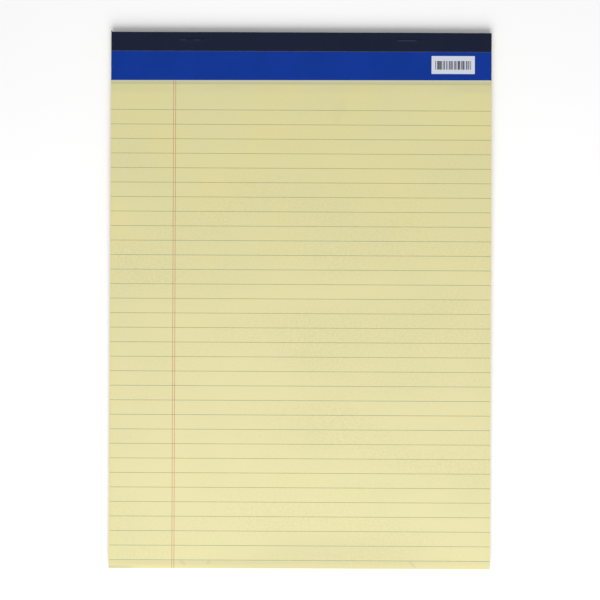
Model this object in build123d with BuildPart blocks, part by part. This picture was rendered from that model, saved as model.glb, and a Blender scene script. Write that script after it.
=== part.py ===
"""A top-bound A4 legal pad, in millimetres.

The pad lies on its backing board. X runs across the sheets, Y runs up the sheets to the
binding and Z rises from the desk. The origin is on the desk under the middle of the pad.
"""

import os

from build123d import *

# The whole pad, over the binding tape
pad_width = 210.0
pad_length = 297.0

# Ruled sheets, pressed together under the header strip and looser below it
sheet_count = 40
sheet_thickness = 0.08
leaf_air = 0.01  # between one loose leaf and the next
rise_length = 4.5  # over which the pressed stub rises to the loose leaves

# Perforation that a sheet tears off along
perforation_drop = 2.0  # below the header strip
slit_length = 2.2
slit_width = 0.15
slit_tie = 0.8  # paper left between one slit and the next

# Backing board
board_thickness = 0.8

# Printed header strip on top of the sheets
header_thickness = 0.15
header_drop = 26.5  # from the pad's top edge to the strip's lower edge

# Binding tape, folded over the top edge
tape_thickness = 0.15
tape_front = 10.5  # from the pad's top edge down the front
tape_back = 12.0  # and down the back
tape_bite = 0.05  # how far the back flap is pressed into the board

# Staples of flattened wire, under the tape
wire_width = 0.5
wire_thickness = 0.4
staple_spacing = 120.0
staple_drop = 4.5  # from the pad's top edge to the staples
staple_crown = 13.0  # between the two legs
staple_clinch = 4.0  # length of leg folded inwards on the board
bend_radius = 0.5  # along the middle of the wire
crown_bite = 0.05  # how far the crown beds into the header strip
staple_clearance = 0.02  # round the wire

# Levels and edges that the pieces share
top_edge = pad_length / 2
bottom_edge = -pad_length / 2
bound_edge = top_edge - tape_thickness
header_edge = top_edge - header_drop
front_flap_edge = top_edge - tape_front
back_flap_edge = top_edge - tape_back
staple_row = top_edge - staple_drop
flap_seat = tape_thickness
board_bottom = flap_seat - tape_bite
board_top = board_bottom + board_thickness
stub_top = board_top + sheet_count * sheet_thickness
leaf_top = stub_top + sheet_count * leaf_air
header_top = stub_top + header_thickness
tape_top = header_top + tape_thickness

# Middle of the wire: the crown beds into the header strip, the clinched ends into the board
crown_level = header_top + wire_thickness / 2 - crown_bite
clinch_level = flap_seat + wire_thickness / 2 + staple_clearance / 2


def staple_pair(margin):
    """Both staples, grown by this margin all round the wire."""
    leg = staple_crown / 2
    tip = leg - staple_clinch
    with BuildPart() as staple:
        with BuildLine(Plane.XZ.offset(-staple_row)) as wire_axis:
            FilletPolyline(
                (-tip, clinch_level),
                (-leg, clinch_level),
                (-leg, crown_level),
                (leg, crown_level),
                (leg, clinch_level),
                (tip, clinch_level),
                radius=bend_radius,
            )
        with BuildSketch(Plane.YZ.offset(-tip)):
            with Locations((staple_row, clinch_level)):
                Rectangle(wire_width + 2 * margin, wire_thickness + 2 * margin)
        sweep(path=wire_axis.line)
    with BuildPart() as pair:
        with GridLocations(staple_spacing, 0, 2, 1):
            add(staple.part)
    return pair.part


staple_holes = staple_pair(staple_clearance)

# Sheets: one block whose top dips to the pressed stub, slit right through at the perforation
slit_pitch = slit_length + slit_tie
slit_count = int(pad_width // slit_pitch)
with BuildPart() as sheet_block:
    with BuildSketch(Plane.YZ):
        with BuildLine():
            Polyline(
                (header_edge - rise_length, leaf_top),
                (bottom_edge, leaf_top),
                (bottom_edge, board_top),
                (bound_edge, board_top),
                (bound_edge, stub_top),
                (header_edge, stub_top),
            )
            Spline(
                (header_edge, stub_top),
                (header_edge - rise_length, leaf_top),
                tangents=((-1, 0), (-1, 0)),
            )
        make_face()
    extrude(amount=pad_width / 2, both=True)
    with BuildSketch(Plane.XY.offset(board_top)):
        with Locations((0, header_edge - perforation_drop)):
            with GridLocations(slit_pitch, 0, slit_count, 1):
                Rectangle(slit_length, slit_width)
    extrude(amount=leaf_top - board_top, mode=Mode.SUBTRACT)
    add(staple_holes, mode=Mode.SUBTRACT)
sheet_block.part.label = "sheet_block"

# Backing board: its back is bare up to the tape and pressed in a little under it
with BuildPart() as backing_board:
    with BuildSketch(Plane.YZ):
        with BuildLine():
            Polyline(
                (bottom_edge, board_bottom),
                (back_flap_edge, board_bottom),
                (back_flap_edge, flap_seat),
                (bound_edge, flap_seat),
                (bound_edge, board_top),
                (bottom_edge, board_top),
                close=True,
            )
        make_face()
    extrude(amount=pad_width / 2, both=True)
    add(staple_holes, mode=Mode.SUBTRACT)
backing_board.part.label = "backing_board"

# Header strip: lies on the pressed stub, dented by the staple crowns
with BuildPart() as header_strip:
    with BuildSketch(Plane.XY.offset(stub_top)):
        with Locations((0, bound_edge)):
            Rectangle(pad_width, bound_edge - header_edge, align=(Align.CENTER, Align.MAX))
    extrude(amount=header_thickness)
    add(staple_holes, mode=Mode.SUBTRACT)
header_strip.part.label = "header_strip"

# Binding tape: folded over the bound edge, raised in a ridge over each staple crown
ridge_margin = staple_clearance + tape_thickness
ridge_length = staple_crown + wire_thickness + 2 * ridge_margin
ridge_height = wire_thickness - crown_bite + ridge_margin
with BuildPart() as crown_ridges:
    with BuildSketch(Plane.XY.offset(header_top)):
        with Locations((0, staple_row)):
            with GridLocations(staple_spacing, 0, 2, 1):
                SlotOverall(ridge_length, wire_width + 2 * ridge_margin)
    extrude(amount=ridge_height)
    fillet(crown_ridges.faces().group_by(Axis.Z)[-1].edges(), radius=tape_thickness)

with BuildPart() as binding_tape:
    with BuildSketch(Plane.YZ):
        with BuildLine():
            Polyline(
                (bound_edge, tape_top),
                (front_flap_edge, tape_top),
                (front_flap_edge, header_top),
                (bound_edge, header_top),
                (bound_edge, flap_seat),
                (back_flap_edge, flap_seat),
                (back_flap_edge, 0),
                (bound_edge, 0),
            )
            CenterArc((bound_edge, flap_seat), tape_thickness, start_angle=-90, arc_size=90)
            Line((top_edge, flap_seat), (top_edge, header_top))
            CenterArc((bound_edge, header_top), tape_thickness, start_angle=0, arc_size=90)
        make_face()
    extrude(amount=pad_width / 2, both=True)
    add(crown_ridges.part)
    add(staple_holes, mode=Mode.SUBTRACT)
binding_tape.part.label = "binding_tape"

# Staples: crown on the header strip, legs through the stack, ends clinched on the board
with BuildPart() as staples:
    add(staple_pair(margin=0))
staples.part.label = "staples"

os.makedirs("parts", exist_ok=True)
for piece in (sheet_block, backing_board, header_strip, binding_tape, staples):
    export_step(piece.part, f"parts/{piece.part.label}.step")
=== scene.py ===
import math

import bpy
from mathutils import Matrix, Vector, noise


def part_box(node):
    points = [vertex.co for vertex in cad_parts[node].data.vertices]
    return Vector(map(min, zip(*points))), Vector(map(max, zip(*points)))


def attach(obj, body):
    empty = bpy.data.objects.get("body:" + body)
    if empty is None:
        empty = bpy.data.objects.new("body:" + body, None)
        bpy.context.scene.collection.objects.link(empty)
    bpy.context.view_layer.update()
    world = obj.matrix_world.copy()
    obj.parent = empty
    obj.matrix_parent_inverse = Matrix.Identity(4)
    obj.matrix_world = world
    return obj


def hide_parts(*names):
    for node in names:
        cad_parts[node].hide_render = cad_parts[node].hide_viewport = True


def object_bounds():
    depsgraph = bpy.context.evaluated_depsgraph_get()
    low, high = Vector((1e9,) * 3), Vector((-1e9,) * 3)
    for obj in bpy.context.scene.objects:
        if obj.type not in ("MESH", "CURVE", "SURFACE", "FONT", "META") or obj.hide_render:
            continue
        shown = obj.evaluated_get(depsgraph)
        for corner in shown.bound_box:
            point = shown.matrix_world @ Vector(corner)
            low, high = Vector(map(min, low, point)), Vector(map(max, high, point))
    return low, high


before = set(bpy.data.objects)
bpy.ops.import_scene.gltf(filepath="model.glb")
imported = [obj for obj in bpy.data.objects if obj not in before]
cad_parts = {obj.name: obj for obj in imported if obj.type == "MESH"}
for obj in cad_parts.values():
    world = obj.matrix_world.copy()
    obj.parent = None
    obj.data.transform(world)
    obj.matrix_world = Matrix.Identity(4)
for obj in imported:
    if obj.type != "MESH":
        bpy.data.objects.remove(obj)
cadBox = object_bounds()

mm = 0.001  # the frame is in metres

# where the solids are, as lowest and highest corners
boardLow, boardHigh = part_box("backing_board")
sheetLow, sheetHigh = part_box("sheet_block")
headerLow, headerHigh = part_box("header_strip")
tapeLow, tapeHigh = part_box("binding_tape")

# how the trimmed pad departs from the solids
trim = {
    "spine": 0.2 * mm,  # room for the uneven fold of the tape
    "sides": 0.2 * mm,  # sheets, header and tape stand out past the board
    "foot": 0.4 * mm,  # sheets and board end short
}
boundEdge = sheetHigh.y - trim["spine"]
leftEdge = sheetLow.x - trim["sides"]
rightEdge = sheetHigh.x + trim["sides"]
footEdge = sheetLow.y + trim["foot"]
print("frame loaded:", ", ".join(sorted(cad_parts)))


# small helpers for nodes, meshes and pieces

def addNode(tree, kind, inputs=None, **settings):
    node = tree.nodes.new(kind)
    for key, value in settings.items():
        setattr(node, key, value)
    for key, value in (inputs or {}).items():
        if isinstance(value, bpy.types.NodeSocket):
            tree.links.new(value, node.inputs[key])
        else:
            node.inputs[key].default_value = value
    return node


def calc(tree, operation, first, second=0.0):
    return addNode(tree, "ShaderNodeMath", {0: first, 1: second}, operation=operation).outputs[0]


def fit(tree, value, low, high, newLow=0.0, newHigh=1.0):
    spread = {"Value": value, "From Min": low, "From Max": high, "To Min": newLow, "To Max": newHigh}
    return addNode(tree, "ShaderNodeMapRange", spread, interpolation_type="SMOOTHSTEP").outputs[0]


def steps(low, high, count):
    return [low + (high - low) * i / count for i in range(count)]


def smooth(t):
    t = min(max(t, 0.0), 1.0)
    return t * t * (3 - 2 * t)


def ripple(x, y, length, seed):
    return noise.noise(Vector((x / length, y / length, seed)))


def newObject(name, mesh):
    obj = bpy.data.objects.new(name, mesh)
    bpy.context.scene.collection.objects.link(obj)
    return obj


# closed skin between two grids of points, both given as rows of (x, y, z)
def shellMesh(name, outer, inner):
    rows, columns = len(outer), len(outer[0])
    under = rows * columns
    points = [p for row in outer for p in row] + [p for row in inner for p in row]
    faces = []
    for j in range(rows - 1):
        for i in range(columns - 1):
            a = j * columns + i
            b = a + columns
            faces.append((a, a + 1, b + 1, b))
            faces.append((under + a, under + b, under + b + 1, under + a + 1))
    for i in range(columns - 1):
        a = (rows - 1) * columns + i
        faces.append((under + i, under + i + 1, i + 1, i))
        faces.append((under + a + 1, under + a, a, a + 1))
    for j in range(rows - 1):
        a = j * columns
        b = a + columns
        faces.append((under + b, under + a, a, b))
        faces.append((under + b - 1, under + b + columns - 1, b + columns - 1, b - 1))
    mesh = bpy.data.meshes.new(name)
    mesh.from_pydata(points, [], faces)
    mesh.update()
    return mesh


# flat piece on a grid, between two heights given as functions of x and y
def slabMesh(name, xs, ys, top, bottom):
    upper = [[(x, y, top(x, y)) for x in xs] for y in ys]
    lower = [[(x, y, bottom(x, y)) for x in xs] for y in ys]
    return shellMesh(name, upper, lower)


def softShade(mesh, sharpDegrees):
    mesh.shade_smooth()
    mesh.set_sharp_from_angle(angle=math.radians(sharpDegrees))


def geometryTree(name, inputs):
    tree = bpy.data.node_groups.new(name, "GeometryNodeTree")
    tree.interface.new_socket("Geometry", in_out="INPUT", socket_type="NodeSocketGeometry")
    for label, kind in inputs.items():
        tree.interface.new_socket(label, in_out="INPUT", socket_type="NodeSocket" + kind)
    tree.interface.new_socket("Geometry", in_out="OUTPUT", socket_type="NodeSocketGeometry")
    return tree, addNode(tree, "NodeGroupInput").outputs


# every tree ends in plain geometry with its material on it
def endTree(tree, geometry, material):
    solid = addNode(tree, "GeometryNodeRealizeInstances", {"Geometry": geometry})
    coated = addNode(tree, "GeometryNodeSetMaterial", {"Geometry": solid.outputs[0], "Material": material})
    addNode(tree, "NodeGroupOutput", {0: coated.outputs[0]})


def runTree(obj, tree, values):
    modifier = obj.modifiers.new(tree.name, "NODES")
    modifier.node_group = tree
    for item in tree.interface.items_tree:
        if item.in_out == "INPUT" and item.name in values:
            modifier[item.identifier] = values[item.name]
    graph = bpy.context.evaluated_depsgraph_get()
    obj.data = bpy.data.meshes.new_from_object(obj.evaluated_get(graph))
    obj.data.name = obj.name
    obj.modifiers.clear()


def place(obj, node):
    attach(obj, "root")
    if node:
        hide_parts(node)
    print(f"{obj.name}: {len(obj.data.polygons)} faces")


# shader groups that several finishes share

def shaderGroup(name, inputs, outputs):
    tree = bpy.data.node_groups.new(name, "ShaderNodeTree")
    for label, kind in inputs.items():
        tree.interface.new_socket(label, in_out="INPUT", socket_type="NodeSocket" + kind)
    for label in outputs:
        tree.interface.new_socket(label, in_out="OUTPUT", socket_type="NodeSocketFloat")
    return tree, addNode(tree, "NodeGroupInput").outputs


# cloudy patches and fine fibres, as in any paper or board
def paperToothGroup():
    tree, given = shaderGroup(
        "paperTooth",
        {"Vector": "Vector", "Patch Scale": "Float", "Fibre Scale": "Float", "Fibre Stretch": "Float"},
        ("Patches", "Fibre", "Height"),
    )
    cloud = addNode(tree, "ShaderNodeTexNoise", {
        "Vector": given["Vector"], "Scale": given["Patch Scale"], "Detail": 3.0, "Roughness": 0.55})
    stretch = addNode(tree, "ShaderNodeCombineXYZ", {0: 1.0, 1: given["Fibre Stretch"], 2: 1.0})
    pulled = addNode(tree, "ShaderNodeVectorMath", {
        0: given["Vector"], 1: stretch.outputs[0]}, operation="MULTIPLY")
    fibre = addNode(tree, "ShaderNodeTexNoise", {
        "Vector": pulled.outputs[0], "Scale": given["Fibre Scale"], "Detail": 5.0, "Roughness": 0.68})
    patches = fit(tree, cloud.outputs[0], 0.32, 0.68)  # the range that most of the noise lies in
    strands = fit(tree, fibre.outputs[0], 0.3, 0.7)
    strandShare = 0.7  # of the height; the rest is patches
    height = calc(tree, "ADD", calc(tree, "MULTIPLY", strands, strandShare),
                  calc(tree, "MULTIPLY", patches, 1 - strandShare))
    addNode(tree, "NodeGroupOutput", {"Patches": patches, "Fibre": strands, "Height": height})
    return tree


# 1 at the outline of a rectangle centred on X, fading to 0 over the reach
def edgeToneGroup():
    tree, given = shaderGroup(
        "edgeTone",
        {"Vector": "Vector", "Half Width": "Float", "Low": "Float", "High": "Float", "Reach": "Float"},
        ("Edge",),
    )
    part = addNode(tree, "ShaderNodeSeparateXYZ", {0: given["Vector"]}).outputs
    side = calc(tree, "SUBTRACT", given["Half Width"], calc(tree, "ABSOLUTE", part[0]))
    foot = calc(tree, "SUBTRACT", part[1], given["Low"])
    head = calc(tree, "SUBTRACT", given["High"], part[1])
    nearest = calc(tree, "MINIMUM", side, calc(tree, "MINIMUM", foot, head))
    edge = fit(tree, calc(tree, "DIVIDE", nearest, given["Reach"]), 0.0, 1.0, 1.0, 0.0)
    addNode(tree, "NodeGroupOutput", {"Edge": edge})
    return tree


paperTooth = paperToothGroup()
edgeTone = edgeToneGroup()


def newFinish(name, roughness, specular):
    material = bpy.data.materials.new(name)
    material.use_nodes = True
    tree = material.node_tree
    tree.nodes.clear()
    surface = addNode(tree, "ShaderNodeBsdfPrincipled", {
        "Roughness": roughness, "Specular IOR Level": specular})
    addNode(tree, "ShaderNodeOutputMaterial", {"Surface": surface.outputs[0]})
    spot = addNode(tree, "ShaderNodeTexCoord").outputs["Object"]
    return material, tree, surface, spot


def toothNode(tree, spot, patch, fibre, stretch):
    node = tree.nodes.new("ShaderNodeGroup")
    node.node_tree = paperTooth
    tree.links.new(spot, node.inputs["Vector"])
    node.inputs["Patch Scale"].default_value = patch
    node.inputs["Fibre Scale"].default_value = fibre
    node.inputs["Fibre Stretch"].default_value = stretch
    return node.outputs


def edgeNode(tree, spot, halfWidth, low, high, reach):
    node = tree.nodes.new("ShaderNodeGroup")
    node.node_tree = edgeTone
    tree.links.new(spot, node.inputs["Vector"])
    for label, value in (("Half Width", halfWidth), ("Low", low), ("High", high), ("Reach", reach)):
        node.inputs[label].default_value = value
    return node.outputs["Edge"]


def blendColour(tree, amount, first, second):
    mix = addNode(tree, "ShaderNodeMix", data_type="RGBA")
    for socket, value in ((mix.inputs[0], amount), (mix.inputs[6], first), (mix.inputs[7], second)):
        if isinstance(value, bpy.types.NodeSocket):
            tree.links.new(value, socket)
        elif isinstance(value, tuple):
            socket.default_value = (*value, 1.0)
        else:
            socket.default_value = value
    return mix.outputs[2]


def bumpOn(tree, surface, height, distance, strength):
    bump = addNode(tree, "ShaderNodeBump", {"Height": height, "Distance": distance, "Strength": strength})
    tree.links.new(bump.outputs[0], surface.inputs["Normal"])


# ruled sheets

sheetStack = {
    "sheets": 40,
    "leafThickness": 0.074 * mm,
    "topGap": 0.004 * mm,  # air under the top sheet
    "riseStart": 0.5 * mm,  # below the header strip
    "steepRise": 2.4 * mm,  # length of the first rise, up to the perforation
    "easyRise": 7.5 * mm,  # and of the rest, to the loose height
    "steepShare": 0.62,
    "waveHeight": 0.26 * mm,
    "waveLength": 62 * mm,
    "waveSeed": 3.1,
    "crinkleHeight": 0.03 * mm,
    "crinkleLength": 17 * mm,
    "crinkleSeed": 8.4,
    "waveStart": 35 * mm,  # below the header strip, where the paper is free to wave
    "curl": 0.3 * mm,  # of the lower edge
    "curlReach": 24 * mm,
    "curlEase": 0.4,  # share by which the left half curls less
    "curlEaseReach": 50 * mm,
    "cornerLift": 0.35 * mm,  # of the lower left corner
    "cornerReach": 45 * mm,
    "lip": 0.13 * mm,  # rise just above the lower edge
    "lipStart": 4.6 * mm,
    "lipEnd": 2.2 * mm,
    "droop": 0.02 * mm,  # of the last strip at the lower edge
    "droopReach": 2.0 * mm,
    "shuffle": 0.11 * mm,  # how far loose leaves stray from the trimmed edge
    "shuffleSeed": 11,
    "fan": 0.42 * mm,  # how far the leaves under the top one lean out at the lower left
    "paper": (0.7245, 0.6675, 0.3698),
    "paperHead": (0.7165, 0.6595, 0.3195),  # a little deeper near the header
    "headTone": (-60 * mm, 100 * mm),  # from where to where it deepens
    "paperCool": (0.681, 0.6525, 0.3625),
    "coolShare": 0.7,
    "paperEdge": (0.715, 0.648, 0.305),
    "edgeShare": 0.55,
    "edgeReach": 4 * mm,
    "paperDark": (0.632, 0.588, 0.318),
    "fibreShare": 0.12,
    "mottleShare": (0.6, 0.2),  # clouds of speckle on the sheet, and just below the header
    "mottleFade": (70 * mm, 100 * mm),
    "paperGreyShade": (0.59, 0.57, 0.338),  # greyer tone and painted shade, as between header and perforation
    "headShadeShare": 0.75,
    "headShadeDrop": (3.4 * mm, 1.6 * mm),  # below the header strip, where the painted shade starts and is full
    # patchy painted shade a little further below the header strip
    "patchyShadeShare": 0.35,
    "patchyShadeDrop": (8.5 * mm, 5.0 * mm),
    "paperCut": (0.56, 0.515, 0.265),  # darkest streaks of the cut edges
    # colour of the painted shade spots listed below
    "shadeAndSpotTone": (0.585, 0.545, 0.32),
    # painted shade of the curled lower edge, its lower left corner and three dents; the last spot is a faint
    # darker tone. Middle and half size in x and y, turn in degrees, strength
    "shadeAndDarkSpots": (
        (16 * mm, -150 * mm, 66 * mm, 24 * mm, 0, 0.36),
        (-57 * mm, -145.2 * mm, 58 * mm, 1.9 * mm, 0, 0.3),
        (-103 * mm, -148.6 * mm, 15 * mm, 2.4 * mm, 0, 0.95),
        (-64.7 * mm, -144.9 * mm, 2.6 * mm, 1.1 * mm, -35, 0.8),
        (-50.3 * mm, -144.9 * mm, 1.7 * mm, 1.1 * mm, 50, 0.7),
        (62.2 * mm, -145.6 * mm, 3.0 * mm, 1.0 * mm, -41, 0.85),
        (21.0 * mm, 105.0 * mm, 4.0 * mm, 9.0 * mm, -18, 0.15),
    ),
}


def stackHeight(x, y):
    pressed = headerLow.z - sheetLow.z
    loose = sheetHigh.z - sheetLow.z
    below = headerLow.y - sheetStack["riseStart"] - y
    above = y - footEdge
    steep = sheetStack["steepShare"] * smooth(below / sheetStack["steepRise"])
    easy = (1 - sheetStack["steepShare"]) * smooth(below / sheetStack["easyRise"])
    wave = sheetStack["waveHeight"] * ripple(x, y, sheetStack["waveLength"], sheetStack["waveSeed"])
    crinkle = ripple(x, y, sheetStack["crinkleLength"], sheetStack["crinkleSeed"])
    wave += sheetStack["crinkleHeight"] * crinkle
    curl = sheetStack["curl"] * smooth(1 - above / sheetStack["curlReach"])
    curl *= 1 - sheetStack["curlEase"] * smooth(1 - x / sheetStack["curlEaseReach"])
    fromCorner = math.hypot(x - sheetLow.x, above)
    lift = sheetStack["cornerLift"] * smooth(1 - fromCorner / sheetStack["cornerReach"])
    lipLength = sheetStack["lipStart"] - sheetStack["lipEnd"]
    lift += sheetStack["lip"] * smooth((sheetStack["lipStart"] - above) / lipLength)
    lift -= sheetStack["droop"] * smooth(1 - above / sheetStack["droopReach"])
    free = smooth(below / sheetStack["waveStart"])
    return pressed + (loose - pressed) * (steep + easy) + (wave + curl) * free + lift


def ruledPaperFinish():
    material, tree, surface, spot = newFinish("ruledPaper", roughness=0.9, specular=0.15)
    grain = toothNode(tree, spot, patch=24.0, fibre=1400.0, stretch=0.6)
    wide = addNode(tree, "ShaderNodeMapping", {"Vector": spot, "Scale": (0.35, 1.0, 1.0)})
    speckle = toothNode(tree, wide.outputs[0], patch=28.0, fibre=2000.0, stretch=0.5)
    hidden = headerLow.y + 10 * mm  # under the header strip, so that no edge tone shows there
    edge = edgeNode(tree, spot, rightEdge, footEdge, hidden, sheetStack["edgeReach"])
    along = addNode(tree, "ShaderNodeSeparateXYZ", {0: spot}).outputs[1]
    head = fit(tree, along, *sheetStack["headTone"])
    colour = blendColour(tree, head, sheetStack["paper"], sheetStack["paperHead"])
    cool = calc(tree, "MULTIPLY", grain["Patches"], sheetStack["coolShare"])
    colour = blendColour(tree, cool, colour, sheetStack["paperCool"])
    # clouds of speckle, where the sheet took up the light unevenly
    mottle = calc(tree, "MULTIPLY", speckle["Patches"], fit(tree, speckle["Fibre"], 0.25, 0.75))
    calm = fit(tree, along, *sheetStack["mottleFade"], *sheetStack["mottleShare"])
    colour = blendColour(tree, calc(tree, "MULTIPLY", mottle, calm), colour, sheetStack["paperDark"])
    tint = calc(tree, "MULTIPLY", edge, sheetStack["edgeShare"])
    colour = blendColour(tree, tint, colour, sheetStack["paperEdge"])
    # painted shade spots, each a soft ragged ellipse that darkens the paper
    for x, y, halfWidth, halfLength, turn, strength in sheetStack["shadeAndDarkSpots"]:
        patch = addNode(tree, "ShaderNodeMapping", {
            "Vector": spot, "Location": (x, y, 0), "Rotation": (0, 0, math.radians(turn)),
            "Scale": (halfWidth, halfLength, 1)}, vector_type="TEXTURE")
        reach = addNode(tree, "ShaderNodeVectorMath", {0: patch.outputs[0]}, operation="LENGTH")
        ragged = calc(tree, "ADD", reach.outputs["Value"], calc(tree, "MULTIPLY", speckle["Fibre"], 0.25))
        colour = blendColour(tree, fit(tree, ragged, 0.6, 1.25, strength, 0.0), colour, sheetStack["shadeAndSpotTone"])
    # painted shade with a greyer tone in the strip above the perforation, and patchy painted shade just below
    # it
    headShadeStart, headShadeFull = (headerLow.y - drop for drop in sheetStack["headShadeDrop"])
    patchyShadeStart, patchyShadeFull = (headerLow.y - drop for drop in sheetStack["patchyShadeDrop"])
    strip = fit(tree, along, headShadeStart, headShadeFull, 0.0, sheetStack["headShadeShare"])
    patchyShadeBand = fit(tree, along, patchyShadeStart, patchyShadeFull, 0.0, sheetStack["patchyShadeShare"])
    patchyShade = calc(tree, "MULTIPLY", patchyShadeBand, fit(tree, speckle["Patches"], 0.2, 0.8))
    colour = blendColour(tree, calc(tree, "MAXIMUM", strip, patchyShade), colour, sheetStack["paperGreyShade"])
    fibre = calc(tree, "MULTIPLY", grain["Fibre"], sheetStack["fibreShare"])
    colour = blendColour(tree, fibre, colour, sheetStack["paperDark"])
    # cut edges, streaked along the leaves
    layers = addNode(tree, "ShaderNodeMapping", {"Vector": spot, "Scale": (0.02, 0.02, 1.0)})
    streak = toothNode(tree, layers.outputs[0], patch=900.0, fibre=9000.0, stretch=1.0)
    facing = addNode(tree, "ShaderNodeVectorTransform", {
        0: addNode(tree, "ShaderNodeNewGeometry").outputs["True Normal"]},
        vector_type="NORMAL", convert_from="WORLD", convert_to="OBJECT")
    facingUp = addNode(tree, "ShaderNodeSeparateXYZ", {0: facing.outputs[0]}).outputs[2]
    cutFace = fit(tree, calc(tree, "ABSOLUTE", facingUp), 0.3, 0.7, 1.0, 0.0)
    cut = calc(tree, "MULTIPLY", cutFace, streak["Fibre"])
    colour = blendColour(tree, cut, colour, sheetStack["paperCut"])
    tree.links.new(colour, surface.inputs["Base Color"])
    tree.links.new(fit(tree, grain["Fibre"], 0.0, 1.0, 0.82, 0.95), surface.inputs["Roughness"])
    bumpOn(tree, surface, grain["Height"], distance=0.03 * mm, strength=0.25)
    return material


ruledPaper = ruledPaperFinish()


# loose leaves under the top one: one leaf form, repeated up the stack
def leafStackTree():
    tree, given = geometryTree("leafStack", {
        "Leaf Count": "Int", "Sheet Count": "Int", "Board Top": "Float", "Bound Edge": "Float",
        "Length": "Float", "Shuffle": "Float", "Fan": "Float", "Seed": "Int", "Paper": "Material"})
    line = addNode(tree, "GeometryNodeMeshLine", {"Count": given["Leaf Count"], "Offset": (0, 0, 0)})
    placed = addNode(tree, "GeometryNodeInstanceOnPoints", {
        "Points": line.outputs[0], "Instance": given["Geometry"]})
    number = addNode(tree, "GeometryNodeInputIndex").outputs[0]
    kept = addNode(tree, "GeometryNodeStoreNamedAttribute", {
        "Geometry": placed.outputs[0], "Name": "leaf", "Value": number}, data_type="INT", domain="INSTANCE")
    solid = addNode(tree, "GeometryNodeRealizeInstances", {"Geometry": kept.outputs[0]})
    leaf = addNode(tree, "GeometryNodeInputNamedAttribute", {"Name": "leaf"}, data_type="INT").outputs[0]
    height = addNode(tree, "GeometryNodeInputNamedAttribute", {
        "Name": "stackHeight"}, data_type="FLOAT").outputs[0]
    here = addNode(tree, "GeometryNodeInputPosition").outputs[0]
    part = addNode(tree, "ShaderNodeSeparateXYZ", {0: here}).outputs
    share = calc(tree, "DIVIDE", leaf, given["Sheet Count"])
    rise = calc(tree, "ADD", given["Board Top"], calc(tree, "MULTIPLY", height, share))
    reach = calc(tree, "DIVIDE", calc(tree, "SUBTRACT", given["Bound Edge"], part[1]), given["Length"])
    stray = calc(tree, "MULTIPLY", given["Shuffle"], reach)
    scatter = addNode(tree, "FunctionNodeRandomValue", {
        "Min": (-1, -1, 0), "Max": (1, 1, 0), "ID": leaf, "Seed": given["Seed"]}, data_type="FLOAT_VECTOR")
    shift = addNode(tree, "ShaderNodeVectorMath", {0: scatter.outputs[0], "Scale": stray}, operation="SCALE")
    lean = calc(tree, "MULTIPLY", calc(tree, "MULTIPLY", given["Fan"], reach), share)
    lift = addNode(tree, "ShaderNodeCombineXYZ", {0: calc(tree, "MULTIPLY", lean, -1.0), 2: rise})
    offset = addNode(tree, "ShaderNodeVectorMath", {0: shift.outputs[0], 1: lift.outputs[0]}, operation="ADD")
    moved = addNode(tree, "GeometryNodeSetPosition", {
        "Geometry": solid.outputs[0], "Offset": offset.outputs[0]})
    endTree(tree, moved.outputs[0], given["Paper"])
    return tree


# grids of a sheet, with closer rows at the foot and below the header strip
leafGrid = {
    "columns": 14, "rows": 22, "footBand": 8 * mm, "footRows": 8, "headBand": 6 * mm, "headRows": 12}
topGrid = {
    "columns": 210, "rows": 96, "footBand": 6 * mm, "footRows": 10, "headBand": 10 * mm, "headRows": 40}


def sheetGrid(grid):
    foot = footEdge + grid["footBand"]
    head = headerLow.y - grid["headBand"]
    xs = steps(leftEdge, rightEdge, grid["columns"]) + [rightEdge]
    ys = steps(footEdge, foot, grid["footRows"]) + steps(foot, head, grid["rows"])
    ys += steps(head, headerLow.y, grid["headRows"]) + [headerLow.y, boundEdge]
    return xs, ys


def makeLeafStack():
    xs, ys = sheetGrid(leafGrid)
    thickness = sheetStack["leafThickness"]
    mesh = slabMesh("leaf", xs, ys, lambda x, y: thickness, lambda x, y: 0.0)
    heights = mesh.attributes.new("stackHeight", "FLOAT", "POINT")
    heights.data.foreach_set("value", [stackHeight(v.co.x, v.co.y) for v in mesh.vertices])
    obj = newObject("sheet_leaves", mesh)
    runTree(obj, leafStackTree(), {
        "Leaf Count": sheetStack["sheets"] - 1, "Sheet Count": sheetStack["sheets"], "Board Top": sheetLow.z,
        "Bound Edge": boundEdge, "Length": boundEdge - footEdge, "Shuffle": sheetStack["shuffle"],
        "Fan": sheetStack["fan"], "Seed": sheetStack["shuffleSeed"], "Paper": ruledPaper})
    place(obj, "sheet_block")


# top sheet, with the tear-off slits cut through it
perforation = {
    "drop": 2.0 * mm,  # below the header strip
    "pitch": 3.0 * mm,
    "slitLength": 2.2 * mm,
    "slitWidth": 0.08 * mm,  # the cut closes up again
    "slitDepth": 1.0 * mm,
    "slitSink": 0.2 * mm,  # of the cut's middle below the loose height
}


def perforationTree():
    tree, given = geometryTree("perforation", {
        "Slit Count": "Int", "Slit Pitch": "Float", "Slit Size": "Vector", "First Slit": "Vector",
        "Paper": "Material"})
    stride = addNode(tree, "ShaderNodeCombineXYZ", {0: given["Slit Pitch"]})
    line = addNode(tree, "GeometryNodeMeshLine", {
        "Count": given["Slit Count"], "Start Location": given["First Slit"], "Offset": stride.outputs[0]})
    slit = addNode(tree, "GeometryNodeMeshCube", {"Size": given["Slit Size"]})
    row = addNode(tree, "GeometryNodeInstanceOnPoints", {
        "Points": line.outputs[0], "Instance": slit.outputs[0]})
    cutter = addNode(tree, "GeometryNodeRealizeInstances", {"Geometry": row.outputs[0]})
    cut = addNode(tree, "GeometryNodeMeshBoolean", {"Mesh 1": given["Geometry"], "Mesh 2": cutter.outputs[0]},
                  operation="DIFFERENCE")
    endTree(tree, cut.outputs[0], given["Paper"])
    return tree


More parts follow.
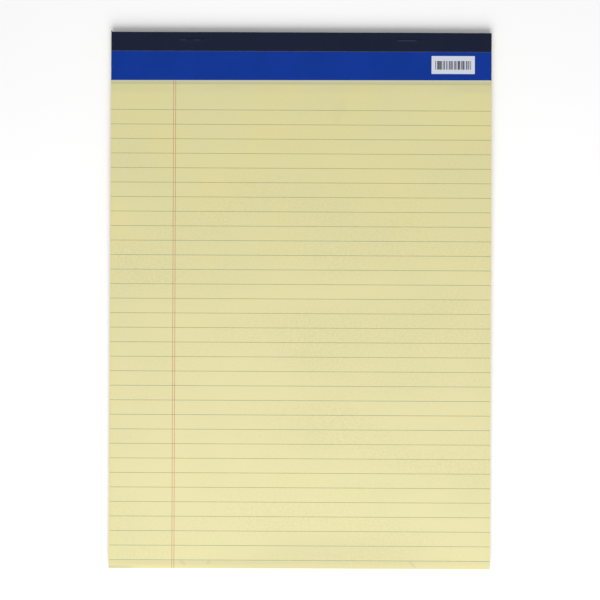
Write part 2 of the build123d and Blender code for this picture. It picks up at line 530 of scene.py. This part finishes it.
def makeTopSheet():
    xs, ys = sheetGrid(topGrid)
    sheets = sheetStack["sheets"]
    thickness = sheetStack["leafThickness"]

    def underside(x, y):
        return sheetLow.z + stackHeight(x, y) * (sheets - 1) / sheets + sheetStack["topGap"]

    mesh = slabMesh("top_sheet", xs, ys, lambda x, y: underside(x, y) + thickness, underside)
    return newObject("top_sheet", mesh)


def perforate(obj):
    width = sheetHigh.x - sheetLow.x
    count = round(width / perforation["pitch"])
    first = sheetLow.x + (width - (count - 1) * perforation["pitch"]) / 2
    level = sheetHigh.z - perforation["slitSink"]
    runTree(obj, perforationTree(), {
        "Slit Count": count, "Slit Pitch": perforation["pitch"],
        "Slit Size": (perforation["slitLength"], perforation["slitWidth"], perforation["slitDepth"]),
        "First Slit": (first, headerLow.y - perforation["drop"], level), "Paper": ruledPaper})
    softShade(obj.data, 30)
    place(obj, "sheet_block")


# printed lines: thin strips of ink that follow the top sheet
ruling = {
    "count": 32,
    "pitch": 8.03 * mm,
    "firstDrop": 43.22 * mm,  # from the pad's top edge
    "width": 0.255 * mm,
    "skew": -0.074,  # degrees, against the trimmed edge
    "parts": 106,  # steps along a line, to follow the sheet
    "ink": (0.27, 0.316, 0.199),
    "inkFaint": (0.391, 0.42, 0.243),
}
margin = {
    "count": 2,
    "pitch": 1.15 * mm,
    "inset": 34.4 * mm,  # from the left edge to the first line
    "width": 0.24 * mm,
    "parts": 900,  # fine enough for the rise below the header
    "ink": (0.475, 0.16, 0.09),
    "inkFaint": (0.572, 0.3, 0.15),
}
inkDepth = 0.014 * mm
rayStart = 50 * mm  # height that the lines are dropped from, onto the sheet
rayLength = 100 * mm


def printedLinesTree():
    tree, given = geometryTree("printedLines", {
        "Sheet": "Object", "Line Count": "Int", "Line Pitch": "Vector", "First Line": "Vector",
        "Line Size": "Vector", "Parts": "Int", "Skew": "Float", "Ink": "Material"})
    line = addNode(tree, "GeometryNodeMeshLine", {
        "Count": given["Line Count"], "Start Location": given["First Line"], "Offset": given["Line Pitch"]})
    strip = addNode(tree, "GeometryNodeMeshCube", {"Size": given["Line Size"], "Vertices X": given["Parts"]})
    turn = addNode(tree, "ShaderNodeCombineXYZ", {2: given["Skew"]})
    laid = addNode(tree, "GeometryNodeInstanceOnPoints", {
        "Points": line.outputs[0], "Instance": strip.outputs[0], "Rotation": turn.outputs[0]})
    solid = addNode(tree, "GeometryNodeRealizeInstances", {"Geometry": laid.outputs[0]})
    sheet = addNode(tree, "GeometryNodeObjectInfo", {"Object": given["Sheet"]})
    position = addNode(tree, "GeometryNodeInputPosition").outputs[0]
    here = addNode(tree, "ShaderNodeSeparateXYZ", {0: position}).outputs
    above = addNode(tree, "ShaderNodeCombineXYZ", {0: here[0], 1: here[1], 2: rayStart})
    drop = addNode(tree, "GeometryNodeRaycast", {
        "Target Geometry": sheet.outputs["Geometry"], "Source Position": above.outputs[0],
        "Ray Direction": (0, 0, -1), "Ray Length": rayLength})
    hit = addNode(tree, "ShaderNodeSeparateXYZ", {0: drop.outputs["Hit Position"]}).outputs
    onSheet = addNode(tree, "ShaderNodeCombineXYZ", {
        0: here[0], 1: here[1], 2: calc(tree, "ADD", hit[2], here[2])})
    pressed = addNode(tree, "GeometryNodeSetPosition", {
        "Geometry": solid.outputs[0], "Selection": drop.outputs["Is Hit"], "Position": onSheet.outputs[0]})
    endTree(tree, pressed.outputs[0], given["Ink"])
    return tree


def inkFinish(name, ink, inkFaint):
    material, tree, surface, spot = newFinish(name, roughness=0.85, specular=0.15)
    grain = toothNode(tree, spot, patch=160.0, fibre=1500.0, stretch=1.0)
    worn = calc(tree, "MULTIPLY", grain["Patches"], grain["Fibre"])
    tree.links.new(blendColour(tree, worn, ink, inkFaint), surface.inputs["Base Color"])
    bumpOn(tree, surface, grain["Height"], distance=0.02 * mm, strength=0.2)
    return material


def makeRuling(topSheet):
    tree = printedLinesTree()
    inset = 0.03 * mm  # keeps the ends of the lines on the sheet
    ruled = newObject("ruled_lines", bpy.data.meshes.new("ruled_lines"))
    runTree(ruled, tree, {
        "Sheet": topSheet, "Line Count": ruling["count"], "Line Pitch": (0, -ruling["pitch"], 0),
        "First Line": (0, cadBox[1].y - ruling["firstDrop"], 0), "Parts": ruling["parts"],
        "Line Size": (rightEdge - leftEdge - 2 * inset, ruling["width"], inkDepth),
        "Skew": math.radians(ruling["skew"]), "Ink": inkFinish("ruleInk", ruling["ink"], ruling["inkFaint"])})
    place(ruled, None)
    headGap = 0.05 * mm  # between the margin lines and the header strip
    head = headerLow.y - headGap
    foot = footEdge + inset
    upright = newObject("margin_lines", bpy.data.meshes.new("margin_lines"))
    runTree(upright, tree, {
        "Sheet": topSheet, "Line Count": margin["count"], "Line Pitch": (margin["pitch"], 0, 0),
        "First Line": (sheetLow.x + margin["inset"], (head + foot) / 2, 0), "Parts": margin["parts"],
        "Line Size": (head - foot, margin["width"], inkDepth), "Skew": math.radians(90),
        "Ink": inkFinish("marginInk", margin["ink"], margin["inkFaint"])})
    place(upright, None)


makeLeafStack()
topSheet = makeTopSheet()
makeRuling(topSheet)  # before the slits, so that no line drops into one
perforate(topSheet)
print("sheets ruled and perforated")


# header strip: blue print on white stock, greyed as painted shade, with a bare hair line at its cut lower
# edge
headerStrip = {
    "rim": 0.18 * mm,
    "overhang": 0.25 * mm,  # past the solid's lower edge
    "skew": 0.0027,  # the cut lower edge runs this much up to the right
    "wave": 0.02 * mm,
    "waveLength": 30 * mm,
    "waveSeed": 5.2,
    "waveReach": 12 * mm,  # below the spine, where the wave is full
    "columns": 70,
    "rows": 9,
    "firstRow": 1 * mm,  # above the solid's lower edge
    "ink": (0.006, 0.0392, 0.305),
    "inkDeep": (0.0056, 0.0333, 0.252),
    # the white stock, greyed as painted shade of its cut edge
    "shadedStock": (0.54, 0.58, 0.62),
    "shadedStockFaint": 0.92,
}


def headerInkFinish():
    material, tree, surface, spot = newFinish("headerInk", roughness=0.8, specular=0.05)
    grain = toothNode(tree, spot, patch=60.0, fibre=2200.0, stretch=1.0)
    colour = blendColour(tree, calc(tree, "MULTIPLY", grain["Patches"], 0.55), headerStrip["ink"],
                         headerStrip["inkDeep"])
    colour = blendColour(tree, calc(tree, "MULTIPLY", grain["Fibre"], 0.2), colour, headerStrip["inkDeep"])
    tree.links.new(colour, surface.inputs["Base Color"])
    tree.links.new(fit(tree, grain["Fibre"], 0.0, 1.0, 0.72, 0.86), surface.inputs["Roughness"])
    bumpOn(tree, surface, grain["Height"], distance=0.015 * mm, strength=0.2)
    return material


def bareStockFinish():
    material, tree, surface, spot = newFinish("bareStock", roughness=0.85, specular=0.2)
    grain = toothNode(tree, spot, patch=80.0, fibre=1800.0, stretch=1.0)
    faint = tuple(headerStrip["shadedStockFaint"] * c for c in headerStrip["shadedStock"])
    colour = blendColour(tree, grain["Fibre"], headerStrip["shadedStock"], faint)
    tree.links.new(colour, surface.inputs["Base Color"])
    bumpOn(tree, surface, grain["Height"], distance=0.015 * mm, strength=0.2)
    return material


headerInk = headerInkFinish()
bareStock = bareStockFinish()


def makeHeader():
    xs = steps(leftEdge, rightEdge, headerStrip["columns"]) + [rightEdge]
    edgeLine = headerLow.y - headerStrip["overhang"]
    ys = [edgeLine, edgeLine + headerStrip["rim"]]
    ys += steps(headerLow.y + headerStrip["firstRow"], boundEdge, headerStrip["rows"]) + [boundEdge]

    def top(x, y):
        wave = headerStrip["wave"] * ripple(x, y, headerStrip["waveLength"], headerStrip["waveSeed"])
        return headerHigh.z + wave * smooth((headerHigh.y - y) / headerStrip["waveReach"])

    mesh = slabMesh("header_strip_print", xs, ys, top, lambda x, y: headerLow.z)
    for v in mesh.vertices:
        v.co.y += headerStrip["skew"] * v.co.x * smooth((headerHigh.y - v.co.y) / (headerHigh.y - edgeLine))
    mesh.update()
    mesh.materials.append(headerInk)
    mesh.materials.append(bareStock)
    for face in mesh.polygons:
        edge = edgeLine + headerStrip["skew"] * face.center.x
        printed = face.normal.z > 0.5 and face.center.y > edge + headerStrip["rim"]
        face.material_index = 0 if printed else 1
    obj = newObject("header_strip_print", mesh)
    softShade(mesh, 30)
    place(obj, "header_strip")


makeHeader()


# plain white panel on the header, with bars of no meaning
codePanel = {
    "left": 72.0 * mm,  # from the middle of the pad
    "right": 95.9 * mm,
    "topDrop": 12.9 * mm,  # from the pad's top edge
    "bottomDrop": 22.8 * mm,
    "depth": 0.012 * mm,
    "columns": 12,
    "rows": 4,
    "barCount": 40,
    "barShare": 0.72,  # of the places that have a bar
    "barTop": 2.7 * mm,  # below the panel's top
    "barBottom": 2.4 * mm,
    "barSide": 2.3 * mm,
    "barThin": 0.2 * mm,
    "barThick": 0.52 * mm,
    "barSeed": 5,
    "white": (0.66, 0.7, 0.79),
    "black": (0.035, 0.035, 0.035),
    "faint": 0.9,
}


def barsTree():
    tree, given = geometryTree("panelBars", {
        "Bar Count": "Int", "First Bar": "Vector", "Bar Pitch": "Float", "Bar Size": "Vector",
        "Thin": "Float", "Thick": "Float", "Share": "Float", "Seed": "Int", "Ink": "Material"})
    stride = addNode(tree, "ShaderNodeCombineXYZ", {0: given["Bar Pitch"]})
    line = addNode(tree, "GeometryNodeMeshLine", {
        "Count": given["Bar Count"], "Start Location": given["First Bar"], "Offset": stride.outputs[0]})
    width = addNode(tree, "FunctionNodeRandomValue", {
        2: given["Thin"], 3: given["Thick"], "Seed": given["Seed"]}, data_type="FLOAT")
    size = addNode(tree, "ShaderNodeCombineXYZ", {0: width.outputs[1], 1: 1.0, 2: 1.0})
    bar = addNode(tree, "GeometryNodeMeshCube", {"Size": given["Bar Size"]})
    kept = addNode(tree, "FunctionNodeRandomValue", {
        "Probability": given["Share"], "Seed": given["Seed"]}, data_type="BOOLEAN")
    row = addNode(tree, "GeometryNodeInstanceOnPoints", {
        "Points": line.outputs[0], "Selection": kept.outputs[3], "Instance": bar.outputs[0],
        "Scale": size.outputs[0]})
    endTree(tree, row.outputs[0], given["Ink"])
    return tree


def panelFinish(name, colour):
    material, tree, surface, spot = newFinish(name, roughness=0.6, specular=0.2)
    grain = toothNode(tree, spot, patch=120.0, fibre=2200.0, stretch=1.0)
    faint = tuple(codePanel["faint"] * c for c in colour)
    tree.links.new(blendColour(tree, grain["Fibre"], colour, faint), surface.inputs["Base Color"])
    return material


def makeCodePanel():
    top = cadBox[1].y - codePanel["topDrop"]
    bottom = cadBox[1].y - codePanel["bottomDrop"]
    base = headerHigh.z + headerStrip["wave"]
    xs = steps(codePanel["left"], codePanel["right"], codePanel["columns"]) + [codePanel["right"]]
    ys = steps(bottom, top, codePanel["rows"]) + [top]
    mesh = slabMesh("code_panel", xs, ys, lambda x, y: base + codePanel["depth"], lambda x, y: headerHigh.z)
    mesh.materials.append(panelFinish("panelWhite", codePanel["white"]))
    panel = newObject("code_panel", mesh)
    place(panel, None)
    first = codePanel["left"] + codePanel["barSide"]
    last = codePanel["right"] - codePanel["barSide"]
    high = top - codePanel["barTop"]
    low = bottom + codePanel["barBottom"]
    bars = newObject("code_bars", bpy.data.meshes.new("code_bars"))
    runTree(bars, barsTree(), {
        "Bar Count": codePanel["barCount"], "Bar Pitch": (last - first) / (codePanel["barCount"] - 1),
        "First Bar": (first, (high + low) / 2, base + codePanel["depth"]),
        "Bar Size": (1.0, high - low, codePanel["depth"]), "Thin": codePanel["barThin"],
        "Thick": codePanel["barThick"], "Share": codePanel["barShare"], "Seed": codePanel["barSeed"],
        "Ink": panelFinish("barInk", codePanel["black"])})
    place(bars, None)


makeCodePanel()
print("header printed")


# binding tape: folded over the bound edge, with a soft ridge over each staple crown
bindingTape = {
    "frontFlap": 10.7 * mm,
    "thickness": 0.15 * mm,
    "foldRadius": 0.34 * mm,
    "foldParts": 6,
    "flapParts": 6,
    "ridgeParts": 10,
    "topParts": 4,
    "spineParts": 5,
    "columns": 260,
    "endReach": 1.5 * mm,  # of the closer columns at both ends
    "endColumns": (0.0, 0.12 * mm, 0.3 * mm, 0.6 * mm, 1.0 * mm),
    "firstRow": 0.5 * mm,  # above the front flap's edge
    "cutSlope": 0.13 * mm,  # the sheared edge of the tape leans this far
    "edgeWander": 0.05 * mm,
    "edgeLength": 5 * mm,
    "edgeSeed": 4.4,
    "endWander": 0.12 * mm,
    "endLength": 2 * mm,
    "endSeed": 1.7,
    "foldWander": 0.18 * mm,  # the fold bulges and draws in by this much
    "foldLength": 40 * mm,
    "foldSeed": 6.3,
    "foldReach": 2 * mm,
    "cornerPeak": 0.95 * mm,  # loose corner of the tape
    "cornerReach": 0.7 * mm,
    "cornerRise": 0.1 * mm,
    "stapleDrop": 4.5 * mm,
    "stapleSide": 60 * mm,  # from the middle to each staple
    "crown": 13 * mm,
    "ridgeHeight": 0.3 * mm,
    "ridgeInside": 0.42 * mm,  # the tape is stretched thin over the wire
    "ridgeHalf": 1.4 * mm,
    "ridgeEnd": 1.6 * mm,
    "cloth": (0.0107, 0.0149, 0.0348),
    "clothWorn": (0.025, 0.031, 0.059),
    "core": (0.115, 0.13, 0.18),
    "ridgeGlint": (0.036, 0.041, 0.072),  # painted glints along the staple ridges
    "ridgeGlintHalf": 0.45 * mm,
    "patchShare": 0.12,
    "edgeShare": 0.5,
    "edgeReach": 0.9 * mm,
    "grainShare": 0.3,  # of the paper's grain under the embossing
}


def tapeRidge(x, y, height):
    across = abs(y - (cadBox[1].y - bindingTape["stapleDrop"])) / bindingTape["ridgeHalf"]
    along = (abs(abs(x) - bindingTape["stapleSide"]) - bindingTape["crown"] / 2) / bindingTape["ridgeEnd"]
    return height * smooth(1 - across) * smooth(1 - along)


# outer and inner lines of the tape's section, from the front flap's edge to the back flap's
def tapeSection():
    thick = bindingTape["thickness"]
    radius = bindingTape["foldRadius"]
    front = cadBox[1].y - bindingTape["frontFlap"]
    spine = tapeHigh.y
    face = headerHigh.z + thick
    staple = cadBox[1].y - bindingTape["stapleDrop"]
    half = bindingTape["ridgeHalf"]
    firstRow = front + bindingTape["firstRow"]
    flat = [front + bindingTape["cutSlope"]] + steps(firstRow, staple - half, bindingTape["flapParts"])
    flat += steps(staple - half, staple + half, bindingTape["ridgeParts"])
    flat += steps(staple + half, spine - radius, bindingTape["topParts"])
    outer = [(y, face) for y in flat]
    inner = [(front, headerHigh.z)] + [(y, headerHigh.z) for y in flat[1:]]
    turns = [math.radians(90 * i / bindingTape["foldParts"]) for i in range(bindingTape["foldParts"] + 1)]
    tight = radius - thick
    for turn in turns:
        lean = (math.sin(turn), math.cos(turn))
        outer.append((spine - radius + radius * lean[0], face - radius + radius * lean[1]))
        inner.append((spine - radius + tight * lean[0], face - radius + tight * lean[1]))
    for z in steps(face - radius, radius, bindingTape["spineParts"])[1:]:
        outer.append((spine, z))
        inner.append((spine - thick, z))
    for turn in turns:
        lean = (math.cos(turn), math.sin(turn))
        outer.append((spine - radius + radius * lean[0], radius - radius * lean[1]))
        inner.append((spine - radius + tight * lean[0], radius - tight * lean[1]))
    for y in steps(spine - radius, tapeLow.y + bindingTape["cutSlope"], bindingTape["flapParts"])[1:]:
        outer.append((y, 0.0))
        inner.append((y, thick))
    outer.append((tapeLow.y + bindingTape["cutSlope"], 0.0))
    inner.append((tapeLow.y, thick))
    return outer, inner


def tapeClothFinish():
    material, tree, surface, spot = newFinish("tapeCloth", roughness=0.85, specular=0.05)
    grain = toothNode(tree, spot, patch=45.0, fibre=1500.0, stretch=1.0)
    emboss = addNode(tree, "ShaderNodeTexVoronoi", {"Vector": spot, "Scale": 2600.0}, feature="SMOOTH_F1")
    beyondFlaps = tapeLow.y - 20 * mm  # so that only the ends and the fold are worn
    edge = edgeNode(tree, spot, rightEdge, beyondFlaps, tapeHigh.y, bindingTape["edgeReach"])
    patches = calc(tree, "MULTIPLY", grain["Patches"], bindingTape["patchShare"])
    colour = blendColour(tree, patches, bindingTape["cloth"], bindingTape["clothWorn"])
    worn = calc(tree, "MULTIPLY", calc(tree, "MULTIPLY", edge, grain["Fibre"]), bindingTape["edgeShare"])
    colour = blendColour(tree, worn, colour, bindingTape["clothWorn"])
    # painted glint: patchy lighter colour along the crest of each staple ridge
    part = addNode(tree, "ShaderNodeSeparateXYZ", {0: spot}).outputs
    stapleRow = cadBox[1].y - bindingTape["stapleDrop"]
    crownHalf = bindingTape["crown"] / 2
    aside = calc(tree, "ABSOLUTE", calc(tree, "SUBTRACT", part[1], stapleRow))
    fromMiddle = calc(tree, "ABSOLUTE", part[0])
    beyond = calc(tree, "ABSOLUTE", calc(tree, "SUBTRACT", fromMiddle, bindingTape["stapleSide"]))
    crest = calc(tree, "MULTIPLY", fit(tree, aside, 0.0, bindingTape["ridgeGlintHalf"], 1.0, 0.0),
                 fit(tree, beyond, crownHalf, crownHalf + 1 * mm, 1.0, 0.0))
    crest = calc(tree, "MULTIPLY", crest, fit(tree, part[2], headerLow.z, headerHigh.z))
    glintPatches = toothNode(tree, spot, patch=260.0, fibre=1500.0, stretch=1.0)
    # rubbed is the mask of the painted glint
    rubbed = calc(tree, "MULTIPLY", crest, fit(tree, glintPatches["Patches"], 0.45, 0.85))
    colour = blendColour(tree, rubbed, colour, bindingTape["ridgeGlint"])
    tree.links.new(colour, surface.inputs["Base Color"])
    tree.links.new(fit(tree, grain["Fibre"], 0.0, 1.0, 0.78, 0.92), surface.inputs["Roughness"])
    under = calc(tree, "MULTIPLY", grain["Height"], bindingTape["grainShare"])
    height = calc(tree, "ADD", emboss.outputs["Distance"], under)
    bumpOn(tree, surface, height, distance=0.05 * mm, strength=0.35)
    return material


def tapeCoreFinish():
    material, tree, surface, spot = newFinish("tapeCore", roughness=0.85, specular=0.2)
    grain = toothNode(tree, spot, patch=300.0, fibre=2600.0, stretch=1.0)
    tree.links.new(blendColour(tree, grain["Fibre"], bindingTape["core"], bindingTape["clothWorn"]),
                   surface.inputs["Base Color"])
    bumpOn(tree, surface, grain["Height"], distance=0.03 * mm, strength=0.3)
    return material


def makeTape():
    outerLine, innerLine = tapeSection()
    reach = bindingTape["endReach"]
    ends = bindingTape["endColumns"]
    foldReach = bindingTape["foldReach"]
    middle = steps(leftEdge + reach, rightEdge - reach, bindingTape["columns"]) + [rightEdge - reach]
    xs = [leftEdge + d for d in ends] + middle + [rightEdge - d for d in reversed(ends)]
    count = len(xs) - 1
    last = len(outerLine) - 1

    # rows run from the back flap to the front one, so that the outside faces out
    def skin(line, ridgeHeight):
        rows = []
        for j in range(last, -1, -1):
            y, z = line[j]
            row = []
            bend = smooth((y - tapeHigh.y + foldReach) / foldReach)
            # quickest up the spine
            fray = ripple(y * 3, z * 9, bindingTape["endLength"], bindingTape["endSeed"])
            for x in xs:
                end = smooth(1 - (rightEdge - abs(x)) / reach)
                wander = -abs(bindingTape["endWander"] * fray) * math.copysign(end, x)
                shear = ripple(x, 0, bindingTape["edgeLength"], bindingTape["edgeSeed"])
                stray = bindingTape["edgeWander"] * shear if j in (0, last) else 0.0
                bulge = ripple(x, 0, bindingTape["foldLength"], bindingTape["foldSeed"])
                stray -= bindingTape["foldWander"] * bend * (0.5 + 0.5 * bulge)
                peak = smooth(1 - (x - leftEdge) / bindingTape["cornerReach"]) * bend
                peak *= smooth((z - headerLow.z) / bindingTape["cornerRise"])
                ridge = tapeRidge(x, y, ridgeHeight) if z >= headerHigh.z else 0.0
                row.append((x + wander, y + stray + bindingTape["cornerPeak"] * peak, z + ridge))
            rows.append(row)
        return rows

    outer = skin(outerLine, bindingTape["ridgeHeight"])
    inner = skin(innerLine, bindingTape["ridgeInside"])
    mesh = shellMesh("binding_tape_cloth", outer, inner)
    mesh.flip_normals()
    mesh.materials.append(tapeClothFinish())
    mesh.materials.append(tapeCoreFinish())
    outside = 2 * last * count
    for face in mesh.polygons:
        face.material_index = 0 if face.index < outside and face.index % 2 == 0 else 1
    obj = newObject("binding_tape_cloth", mesh)
    softShade(mesh, 40)
    place(obj, "binding_tape")


makeTape()
print("binding taped")


# backing board: grey chip board with flecks, its edges a little rubbed
backingBoard = {
    "rubbed": 0.12 * mm,
    "flapSeat": 0.15 * mm,
    "flapStep": 0.02 * mm,  # over which the back is pressed in
    "columns": 42,
    "rows": 56,
    "grey": (0.3, 0.275, 0.235),
    "greyLight": (0.37, 0.345, 0.3),
    "fleckDark": (0.1, 0.085, 0.07),
    "fleckPale": (0.52, 0.5, 0.45),
    "patchShare": 0.3,
    "darkShare": 0.55,
    "paleShare": 0.45,
    "edgeShare": 0.3,
    "streakShare": 0.45,
    "edgeReach": 1.2 * mm,
}


def greyBoardFinish():
    material, tree, surface, spot = newFinish("greyBoard", roughness=0.9, specular=0.15)
    grain = toothNode(tree, spot, patch=40.0, fibre=900.0, stretch=0.35)
    # pulp lies in thin layers, so the cut edge is streaked along its length
    layers = addNode(tree, "ShaderNodeMapping", {"Vector": spot, "Scale": (0.12, 0.12, 9.0)})
    streak = toothNode(tree, layers.outputs[0], patch=300.0, fibre=900.0, stretch=1.0)
    flecks = addNode(tree, "ShaderNodeTexNoise", {
        "Vector": spot, "Scale": 420.0, "Detail": 3.5, "Roughness": 0.6})
    turned = addNode(tree, "ShaderNodeMapping", {
        "Vector": spot, "Location": (0.3, 0.1, 0.2), "Rotation": (0, 0, 0.7), "Scale": (1.0, 0.45, 1.0)})
    slivers = addNode(tree, "ShaderNodeTexNoise", {
        "Vector": turned.outputs[0], "Scale": 700.0, "Detail": 2.0, "Roughness": 0.5})
    sparse = addNode(tree, "ShaderNodeTexNoise", {"Vector": spot, "Scale": 75.0, "Detail": 1.0}).outputs[0]
    dark = fit(tree, calc(tree, "ADD", flecks.outputs[0], calc(tree, "MULTIPLY", sparse, 0.25)), 0.77, 0.83)
    pale = fit(tree, slivers.outputs[0], 0.66, 0.72)
    edge = edgeNode(tree, spot, boardHigh.x, footEdge, boardHigh.y, backingBoard["edgeReach"])
    colour = blendColour(tree, grain["Fibre"], backingBoard["grey"], backingBoard["greyLight"])
    streaks = calc(tree, "MULTIPLY", edge, streak["Fibre"])
    for mask, share, tone in (
            (grain["Patches"], "patchShare", "grey"), (dark, "darkShare", "fleckDark"),
            (pale, "paleShare", "fleckPale"), (edge, "edgeShare", "fleckPale"),
            (streaks, "streakShare", "grey")):
        amount = calc(tree, "MULTIPLY", mask, backingBoard[share])
        colour = blendColour(tree, amount, colour, backingBoard[tone])
    tree.links.new(colour, surface.inputs["Base Color"])
    height = calc(tree, "ADD", grain["Height"], calc(tree, "MULTIPLY", edge, streak["Height"]))
    bumpOn(tree, surface, height, distance=0.06 * mm, strength=0.4)
    return material


def makeBoard():
    xs = steps(boardLow.x, boardHigh.x, backingBoard["columns"]) + [boardHigh.x]
    ys = steps(footEdge, tapeLow.y, backingBoard["rows"])
    ys += [tapeLow.y, tapeLow.y + backingBoard["flapStep"], boundEdge]

    def back(x, y):
        return boardLow.z if y <= tapeLow.y else backingBoard["flapSeat"]

    mesh = slabMesh("backing_board_grey", xs, ys, lambda x, y: boardHigh.z, back)
    mesh.materials.append(greyBoardFinish())
    obj = newObject("backing_board_grey", mesh)
    bevel = obj.modifiers.new("rubbedEdges", "BEVEL")
    bevel.width = backingBoard["rubbed"]
    bevel.segments = 3
    bevel.limit_method = "ANGLE"
    bevel.angle_limit = math.radians(75)  # spares the flap's step
    graph = bpy.context.evaluated_depsgraph_get()
    obj.data = bpy.data.meshes.new_from_object(obj.evaluated_get(graph))
    obj.modifiers.clear()
    softShade(obj.data, 35)
    place(obj, "backing_board")


makeBoard()


# staples keep their CAD form
staple = {"wire": (0.6, 0.6, 0.61), "wireDull": (0.38, 0.38, 0.39)}


def stapleWireFinish():
    material, tree, surface, spot = newFinish("stapleWire", roughness=0.35, specular=0.5)
    surface.inputs["Metallic"].default_value = 1.0
    grain = toothNode(tree, spot, patch=500.0, fibre=3000.0, stretch=0.2)
    colour = blendColour(tree, grain["Fibre"], staple["wire"], staple["wireDull"])
    tree.links.new(colour, surface.inputs["Base Color"])
    tree.links.new(fit(tree, grain["Fibre"], 0.0, 1.0, 0.25, 0.5), surface.inputs["Roughness"])
    return material


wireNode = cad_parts["staples"]
wireNode.data.materials.clear()
wireNode.data.materials.append(stapleWireFinish())
print("board and staples finished")


# floor, light and camera

studio = {
    "floorSize": 14.0,
    "floorLevel": -0.02 * mm,
    "floorColour": (0.99, 0.99, 0.99),
    "floorShade": 0.985,
    "world": 0.5,
    "sunStrength": 1.08,
    "sunElevation": 42,
    "sunSoftness": 45,
    "softboxPower": 3.65,
    "softboxPlace": (0.0, -0.55, 0.5),
    "softboxSize": 0.6,
}
camera = {
    "lens": 100.0,
    "sensor": 36.0,
    "clipStart": 10 * mm,
    "place": (-0.27 * mm, 0.36 * mm, 926.2 * mm),
    "turn": 0.223,  # degrees about Z; it looks straight down
}


def makeStudio():
    material, tree, surface, spot = newFinish("floorPale", roughness=0.9, specular=0.1)
    cloud = toothNode(tree, spot, patch=3.0, fibre=60.0, stretch=1.0)
    shade = tuple(studio["floorShade"] * c for c in studio["floorColour"])
    colour = blendColour(tree, cloud["Patches"], studio["floorColour"], shade)
    tree.links.new(colour, surface.inputs["Base Color"])
    half = studio["floorSize"] / 2
    mesh = bpy.data.meshes.new("floor")
    outline = ((-half, -half), (half, -half), (half, half), (-half, half))
    mesh.from_pydata([(x, y, studio["floorLevel"]) for x, y in outline], [], [(0, 1, 2, 3)])
    mesh.materials.append(material)
    newObject("floor", mesh)

    world = bpy.data.worlds.new("studio")
    world.use_nodes = True
    world.node_tree.nodes["Background"].inputs["Color"].default_value = (1, 1, 1, 1)
    world.node_tree.nodes["Background"].inputs["Strength"].default_value = studio["world"]
    bpy.context.scene.world = world

    sun = bpy.data.lights.new("sun", "SUN")
    sun.energy = studio["sunStrength"]
    sun.angle = math.radians(studio["sunSoftness"])
    lamp = newObject("sun", sun)
    lamp.rotation_euler = (math.radians(90 - studio["sunElevation"]), 0, 0)

    box = bpy.data.lights.new("softbox", "AREA")
    box.energy = studio["softboxPower"]
    box.size = studio["softboxSize"]
    panel = newObject("softbox", box)
    panel.location = studio["softboxPlace"]
    panel.rotation_euler = (-Vector(studio["softboxPlace"])).to_track_quat("-Z", "Y").to_euler()


def makeCamera():
    lens = bpy.data.cameras.new("camera")
    lens.lens = camera["lens"]
    lens.sensor_width = camera["sensor"]
    lens.clip_start = camera["clipStart"]
    eye = newObject("camera", lens)
    eye.location = camera["place"]
    eye.rotation_euler = (0, 0, math.radians(camera["turn"]))
    bpy.context.scene.camera = eye


makeStudio()
makeCamera()
bpy.context.scene.view_settings.view_transform = "Standard"
print("studio and camera set")
